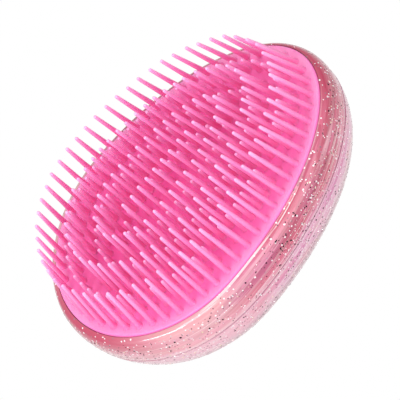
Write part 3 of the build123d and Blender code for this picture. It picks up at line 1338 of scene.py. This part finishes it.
@dataclass
class Bristles:
    """One row of bristles, read from its CAD node and given a flared foot and a ball tip.

    Attributes:
        node: the CAD node of the row.
        sides: sides of a bristle.
        foot_radius: radius above the flare.
        tip_radius: radius at the tip.
        flare: radius where a bristle meets the pad.
        flare_rows: heights of the flare's rings: in the pad, part way and at its top.
        flare_swell: how much wider than the foot the part-way ring is.
        taper_shares: where the rings of the straight part stand, along it.
        tip_turns: turns of the ball tip's rings, in radians.
        buried: how far the CAD bristle runs into the pad.
        foot_band: height above a CAD bristle's lowest point that still counts as its foot.
        sway: most that a bristle of full length bends aside at its tip.
        full_length: the length that sway belongs to.
    """

    node: str
    sides: int = 8
    foot_radius: float = 0.9 * MM
    tip_radius: float = 0.55 * MM
    flare: float = 1.35 * MM
    flare_rows: tuple[float, float, float] = (-0.15 * MM, 0.35 * MM, 1.1 * MM)
    flare_swell: float = 1.12
    taper_shares: tuple[float, ...] = (0.35, 0.65, 1.0)
    tip_turns: tuple[float, ...] = (0.6, 1.15)
    buried: float = 0.8 * MM
    foot_band: float = 0.35 * MM
    sway: float = 0.35 * MM
    full_length: float = 19.0 * MM

    def stems(self) -> list[tuple[Vector, Vector]]:
        """Reads the bristles of the CAD node, each an island of its mesh.

        Returns:
            Foot and tip of each bristle, in a fixed order.
        """
        bm = bmesh.new()
        bm.from_mesh(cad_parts[self.node].data)
        bmesh.ops.remove_doubles(bm, verts=bm.verts, dist=CAD_WELD)
        bm.verts.ensure_lookup_table()
        seen: set[int] = set()
        stems = []
        for start in bm.verts:
            if start.index in seen:
                continue
            island, queue = [], [start]
            seen.add(start.index)
            while queue:
                vert = queue.pop()
                island.append(vert.co.copy())
                for edge in vert.link_edges:
                    other = edge.other_vert(vert)
                    if other.index not in seen:
                        seen.add(other.index)
                        queue.append(other)
            tip = max(island, key=lambda co: co.z)
            low = min(co.z for co in island)
            base = [co for co in island if co.z < low + self.foot_band]
            foot = sum(base, Vector()) / len(base)
            stems.append((foot, tip))
        bm.free()
        return sorted(stems, key=lambda stem: (round(stem[0].x, 5), round(stem[0].y, 5)))

    def shape(self, length: float) -> list[tuple[float, float]]:
        """The section of one bristle.

        Args:
            length: height of its tip above the pad.

        Returns:
            Radius and height of each ring, from the buried foot to the tip.
        """
        tip = self.tip_radius
        straight = length - tip
        radii = (self.flare, self.foot_radius * self.flare_swell, self.foot_radius)
        rows = list(zip(radii, self.flare_rows))
        taper = self.foot_radius - tip
        rows += [(self.foot_radius - taper * share, straight * share)
                 for share in self.taper_shares]
        rows += [(tip * math.cos(turn), straight + tip * math.sin(turn)) for turn in self.tip_turns]
        return rows

    def build(self, material: Material) -> None:
        """Makes the row.

        Args:
            material: the bristle plastic.
        """
        dice = random.Random(self.node)
        bm = bmesh.new()
        along_layer = bm.verts.layers.float.new("along")
        tone_layer = bm.verts.layers.float.new("tone")
        for foot, tip in self.stems():
            axis = (tip - foot).normalized()
            length = (tip - foot).length - self.buried
            ground = foot + axis * self.buried
            turn = axis.to_track_quat("Z", "Y").to_matrix().to_4x4()
            matrix = Matrix.Translation(ground) @ turn
            heading = dice.uniform(0, math.tau)
            lean = self.sway * dice.random() * length / self.full_length
            tone = dice.random()
            made = self.stem(bm, self.shape(length), length)
            for vert in made:
                share = max(0.0, min(1.0, vert.co.z / length))
                vert.co.x += lean * math.cos(heading) * share**2
                vert.co.y += lean * math.sin(heading) * share**2
                vert[along_layer] = share
                vert[tone_layer] = tone
            bmesh.ops.transform(bm, matrix=matrix, verts=made)
        bmesh.ops.recalc_face_normals(bm, faces=bm.faces)
        piece = finished(self.node + "_soft", bm, material, sharp=80.0)
        enrol(piece, PAD_BODY, "bristles", self.node)

    def stem(self, bm: bmesh.types.BMesh, rows: Sequence[tuple[float, float]],
             length: float) -> list[bmesh.types.BMVert]:
        """Spins one bristle about Z at the origin and closes both of its ends.

        Args:
            bm: the row's mesh.
            rows: radius and height of each ring.
            length: height of the tip.

        Returns:
            The new vertices.
        """
        before = set(bm.verts)
        line = [bm.verts.new((radius, 0, height)) for radius, height in rows]
        edges = [bm.edges.new(pair) for pair in zip(line, line[1:])]
        bmesh.ops.spin(bm, geom=line + edges, cent=(0, 0, 0), axis=(0, 0, 1), angle=math.tau,
                       steps=self.sides, use_merge=True)
        new = [vert for vert in bm.verts if vert not in before]
        cap = bmesh.ops.contextual_create(bm, geom=level_edges(new, rows[-1][1]))
        poke = bmesh.ops.poke(bm, faces=cap["faces"])
        for vert in poke["verts"]:
            vert.co.z = length
        bmesh.ops.contextual_create(bm, geom=level_edges(new, rows[0][1]))
        return new + poke["verts"]


# --- studio --------------------------------------------------------------------


@dataclass
class Studio:
    """White backdrop, soft lights and the camera.

    Attributes:
        elevation: the camera's height in degrees.
        azimuth: its turn from the near side, in degrees.
        roll: its roll about its own view, in degrees.
        distance: how far it stands from the pad.
        image_width: width of the finished image.
        pixels_per_metre: size of the brush in it.
        aim: how far right and up of the brush the camera points.
        sensor: the camera's sensor in millimetres.
        clip: nearest and furthest that it sees.
        lit_height: height that the lights aim at.
        world_strength: strength of the room's light.
    """

    elevation: float = 47.9
    azimuth: float = 1.6
    roll: float = 50.6
    distance: float = 0.9
    image_width: float = 400.0
    pixels_per_metre: float = 3440.0
    aim: tuple[float, float] = (0.01048, 0.00501)
    sensor: float = 36.0
    clip: tuple[float, float] = (0.01, 20.0)
    lit_height: float = 30.0 * MM
    world_strength: float = 0.84

    def axes(self) -> tuple[Vector, Vector, Vector]:
        """The camera's own directions.

        Returns:
            Right, up and backward.
        """
        lift, turn, roll = (math.radians(v) for v in (self.elevation, self.azimuth, self.roll))
        level = math.cos(lift)
        back = Vector((math.sin(turn) * level, -math.cos(turn) * level, math.sin(lift)))
        right = Vector((math.cos(turn), math.sin(turn), 0.0))
        up = back.cross(right)
        return (right * math.cos(roll) - up * math.sin(roll),
                right * math.sin(roll) + up * math.cos(roll), back)

    def camera(self) -> None:
        """A long lens from above the near side, rolled so that the narrow end points up."""
        right, up, back = self.axes()
        lens = bpy.data.cameras.new("camera")
        lens.sensor_width = self.sensor
        lens.lens = self.sensor * self.pixels_per_metre * self.distance / self.image_width
        lens.clip_start, lens.clip_end = self.clip
        camera = bpy.data.objects.new("camera", lens)
        middle = Vector((PLAN.widest_x, 0.0, PLAN.rim_z))
        place = middle + right * self.aim[0] + up * self.aim[1] + back * self.distance
        turn = Matrix((right, up, back)).transposed().to_4x4()
        camera.matrix_world = Matrix.Translation(place) @ turn
        bpy.context.scene.collection.objects.link(camera)
        bpy.context.scene.camera = camera

    def lamp(self, name: str, place: tuple[float, float, float], size: tuple[float, float],
             power: float, colour: tuple[float, float, float] = (1, 1, 1)) -> None:
        """A soft rectangular light aimed at the brush.

        Args:
            name: the light's name.
            place: where it hangs.
            size: its two sides; the first runs along X.
            power: its power in watts.
            colour: its colour.
        """
        data = bpy.data.lights.new(name, "AREA")
        data.shape = "RECTANGLE"
        data.size, data.size_y = size
        data.energy, data.color = power, colour
        light = bpy.data.objects.new(name, data)
        light.location = place
        aim = Vector((0, 0, self.lit_height)) - Vector(place)
        light.rotation_euler = aim.to_track_quat("-Z", "Y").to_euler()
        bpy.context.scene.collection.objects.link(light)

    def surroundings(self) -> None:
        """A plain white backdrop; the brush is lit by a room that is darkest near eye level."""
        world = bpy.data.worlds.new("studio")
        bpy.context.scene.world = world
        world.use_nodes = True
        canvas = Canvas(world.node_tree)
        sky = canvas.add("TexCoord").outputs["Generated"]
        height = canvas.add("SeparateXYZ", Vector=sky).outputs["Z"]
        shade = canvas.ramp(canvas.remap(height, -1.0, 1.0), [
            (0.0, dye("fff4f6")), (0.42, dye("fbeff2")), (0.52, dye("cbb4bc")),
            (0.6, dye("f4ecee")), (1.0, dye("ffffff"))])
        backdrop = world.node_tree.nodes["Background"]
        seen = canvas.add("LightPath").outputs["Is Camera Ray"]
        canvas.feed(backdrop, "Color", canvas.mix(seen, shade, (1.0, 1.0, 1.0)))
        unseen = canvas.maths("SUBTRACT", 1.0, seen)
        light = canvas.maths("MULTIPLY", unseen, self.world_strength)
        canvas.feed(backdrop, "Strength", canvas.maths("ADD", light, seen))

    def build(self) -> None:
        """Sets up the room, lights and camera."""
        self.camera()
        self.surroundings()
        self.lamp("key_softbox", place=(-0.5, -0.55, 0.9), size=(0.5, 0.5), power=3.4)
        self.lamp("top_softbox", place=(0.25, 0.3, 1.1), size=(0.6, 0.6), power=2.4)
        self.lamp("shoulder_strip", place=(-0.75, -0.35, 0.56), size=(0.5, 0.14), power=2.6)
        self.lamp("near_fill", place=(0.3, -1.0, 0.3), size=(1.2, 0.7), power=4.4,
                  colour=dye("fff4f6"))
        bpy.context.scene.view_settings.view_transform = "Standard"


def main() -> None:
    """Builds every piece in order."""
    logging.basicConfig(level=logging.INFO, format="%(name)s %(message)s")
    Studio().build()
    Casing().build()
    Glitter().build()
    Carrier().build()
    Pad().build()
    plastic = BristlePink("bristle_pink", {
        "Subsurface Weight": 0.3, "Subsurface Scale": 0.0015, "Subsurface Radius": (1.0, 0.4, 0.6),
        "Specular IOR Level": 0.5}).build()
    rows = (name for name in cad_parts
            if name.startswith("bristle_") and name != "bristle_pad")
    for node in sorted(rows):
        Bristles(node).build(plastic)


if __name__ == "__main__":
    main()
